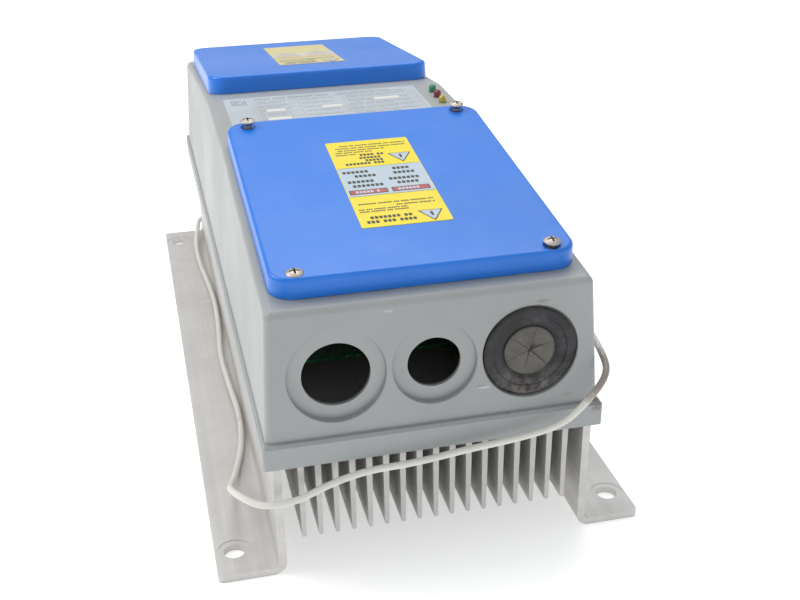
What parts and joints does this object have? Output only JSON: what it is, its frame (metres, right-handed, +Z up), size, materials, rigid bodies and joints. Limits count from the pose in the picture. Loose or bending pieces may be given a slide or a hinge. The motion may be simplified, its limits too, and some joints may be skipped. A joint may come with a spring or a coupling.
{
  "type": "variable frequency drive",
  "caption": "Wall-mounted motor drive: finned heatsink between two rails, grey housing with conduit entries, two blue lift-off covers, lamps and rear fans.",
  "frame": {"origin": "on the mounting surface, under the middle of the housing", "axes": "+X right seen from the conduit end, +Y along the drive away from the conduit entries, +Z up from the mounting surface"},
  "size_m": [0.2432, 0.5626, 0.1945],
  "materials": {
    "housing_grey": "satin light grey paint",
    "cover_blue": "moulded blue, soft gloss",
    "aluminium": "mill finish extrusion",
    "rail_aluminium": "mill finish plate, dull",
    "zinc": "zinc plated",
    "stainless": "plain stainless",
    "foam": "closed-cell foam",
    "label_film": "printed film",
    "plate_film": "printed film",
    "lamp_yellow": "tinted clear",
    "lamp_red": "tinted clear",
    "lamp_green": "tinted clear",
    "board_green": "solder resist",
    "black_rubber": "matt, dusty",
    "grey_membrane": "thin, dusty",
    "module_plastic": "moulded epoxy",
    "brass": "plain",
    "capacitor_sleeve": "shrink sleeve",
    "ferrite": "coated ferrite",
    "copper_wire": "enamelled copper",
    "terminal_black": "moulded",
    "marker_white": "moulded",
    "terminal_green": "moulded",
    "fan_black": "moulded",
    "guard_wire": "plated wire",
    "lead_white": "extruded jacket",
    "plug_white": "moulded nylon"
  },
  "bodies": {
    "chassis": {"housing": "housing_grey", "housing_screws": "zinc", "heatsink": "aluminium", "left_mounting_rail": "rail_aluminium", "right_mounting_rail": "rail_aluminium", "rail_screws": "zinc", "rating_plate": "plate_film", "yellow_lamp": "lamp_yellow", "red_lamp": "lamp_red", "green_lamp": "lamp_green", "lamp_board": "board_green", "lamp_board_screws": "zinc", "cable_grommet": "black_rubber", "grommet_membrane": "grey_membrane", "rectifier_module": "module_plastic", "inverter_module": "module_plastic", "module_screws": "zinc", "board_standoffs": "brass", "power_board": "board_green", "power_board_screws": "zinc", "link_capacitors": "capacitor_sleeve", "choke_core": "ferrite", "choke_windings": "copper_wire", "power_terminal_block": "terminal_black", "terminal_marker_strip": "marker_white", "terminal_clamps": "brass", "ground_bar": "brass", "ground_screws": "zinc", "control_tray": "zinc", "tray_screws": "zinc", "control_board": "board_green", "control_board_screws": "zinc", "control_terminals": "terminal_green", "processor_chip": "module_plastic", "fan_bracket": "zinc", "fan_bracket_screws": "zinc", "fan_frame_left": "fan_black", "fan_frame_right": "fan_black", "fan_guard_left": "guard_wire", "fan_guard_right": "guard_wire", "fan_screws": "zinc", "strain_relief": "black_rubber", "signal_lead": "lead_white", "lead_plug": "plug_white"},
    "terminal_cover": {"terminal_cover": "cover_blue", "terminal_cover_gasket": "foam", "terminal_cover_label": "label_film"},
    "upper_cover": {"upper_cover": "cover_blue", "upper_cover_gasket": "foam", "upper_cover_label": "label_film"},
    "cover_screw_near_left": {"cover_screw_near_left": "stainless"},
    "cover_screw_near_right": {"cover_screw_near_right": "stainless"},
    "cover_screw_far_left": {"cover_screw_far_left": "stainless"},
    "cover_screw_far_right": {"cover_screw_far_right": "stainless"},
    "fan_rotor_left": {"fan_rotor_left": "fan_black"},
    "fan_rotor_right": {"fan_rotor_right": "fan_black"}
  },
  "joints": [
    {"name": "terminal_cover_lift", "type": "slide", "parent": "chassis", "child": "terminal_cover", "axis": [0, -0.1022, 0.9948], "range_m": [0, 0.06]},
    {"name": "upper_cover_lift", "type": "slide", "parent": "chassis", "child": "upper_cover", "axis": [0, 0.1238, 0.9923], "range_m": [0, 0.05]},
    {"name": "near_left_screw_turn_out", "type": "slide", "parent": "terminal_cover", "child": "cover_screw_near_left", "axis": [0, -0.1022, 0.9948], "range_m": [0, 0.009]},
    {"name": "near_right_screw_turn_out", "type": "slide", "parent": "terminal_cover", "child": "cover_screw_near_right", "axis": [0, -0.1022, 0.9948], "range_m": [-0.0024, 0.0066]},
    {"name": "far_left_screw_turn_out", "type": "slide", "parent": "terminal_cover", "child": "cover_screw_far_left", "axis": [0, -0.1022, 0.9948], "range_m": [-0.004, 0.005]},
    {"name": "far_right_screw_turn_out", "type": "slide", "parent": "terminal_cover", "child": "cover_screw_far_right", "axis": [0, -0.1022, 0.9948], "range_m": [-0.004, 0.005]},
    {"name": "fan_spin_left", "type": "hinge", "parent": "chassis", "child": "fan_rotor_left", "pos_m": [-0.0315, 0.2305, 0.04], "axis": [0, 1, 0], "continuous": true},
    {"name": "fan_spin_right", "type": "hinge", "parent": "chassis", "child": "fan_rotor_right", "pos_m": [0.0315, 0.2305, 0.04], "axis": [0, 1, 0], "continuous": true}
  ]
}
